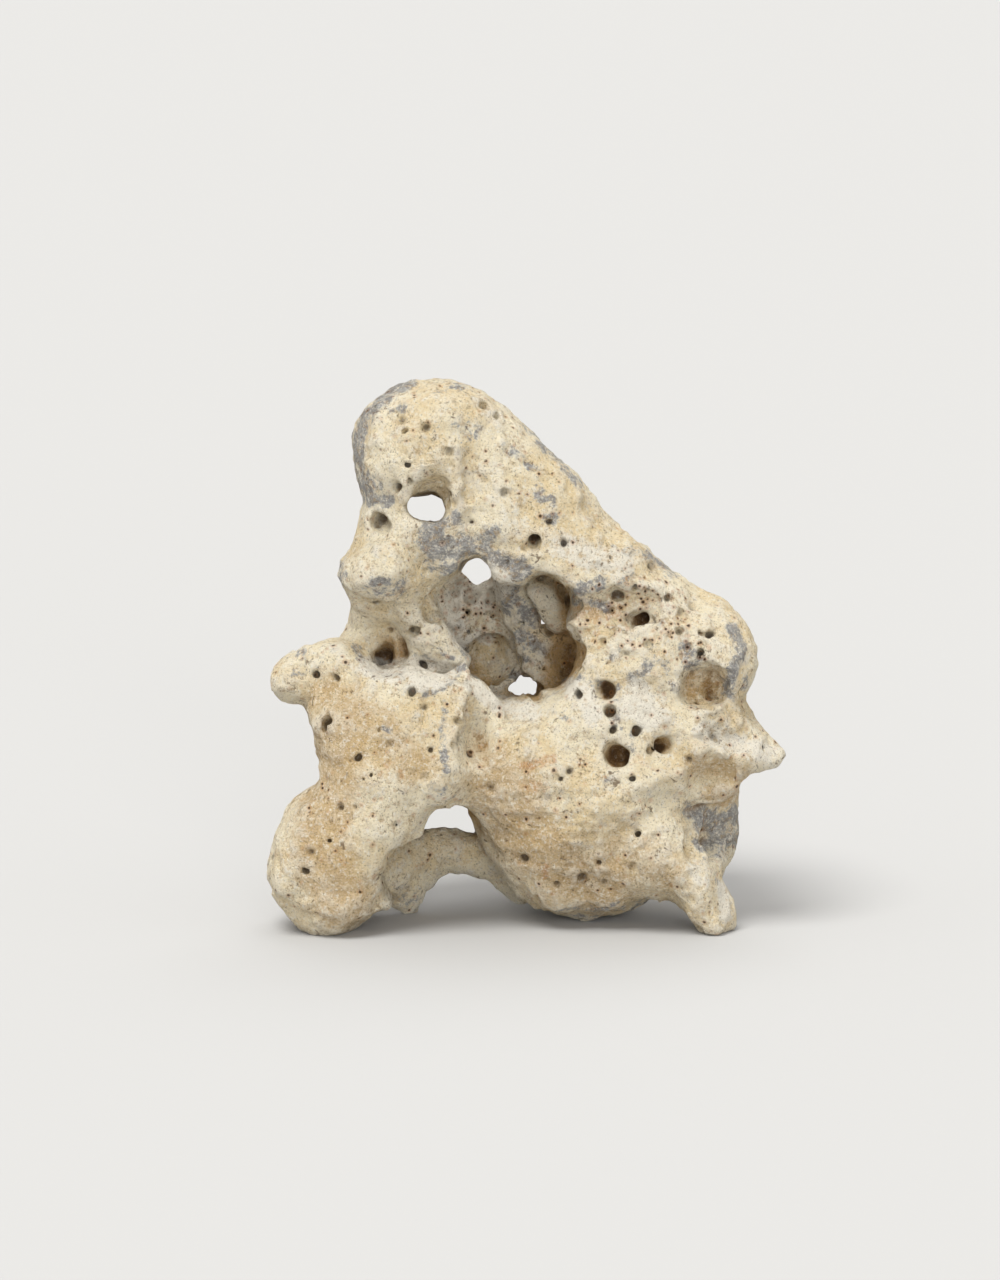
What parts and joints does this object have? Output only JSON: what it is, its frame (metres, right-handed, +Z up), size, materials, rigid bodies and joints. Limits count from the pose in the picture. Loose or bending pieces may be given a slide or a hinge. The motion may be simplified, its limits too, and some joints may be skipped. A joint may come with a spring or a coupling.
{
  "type": "limestone rock",
  "caption": "Holey pale limestone rock that stands on worn feet, with a tall crown, a middle window, low arches, a side horn and round borings.",
  "frame": {"origin": "middle of the rock's bounding box, on the plane its worn feet rest on", "axes": "+Z up, -Y out of the front that the picture shows, +X to the right in that view"},
  "size_m": [0.2056, 0.1242, 0.2185],
  "materials": {
    "limestone": "matte"
  },
  "bodies": {
    "root": {"limestone_rock": "limestone"}
  },
  "joints": []
}
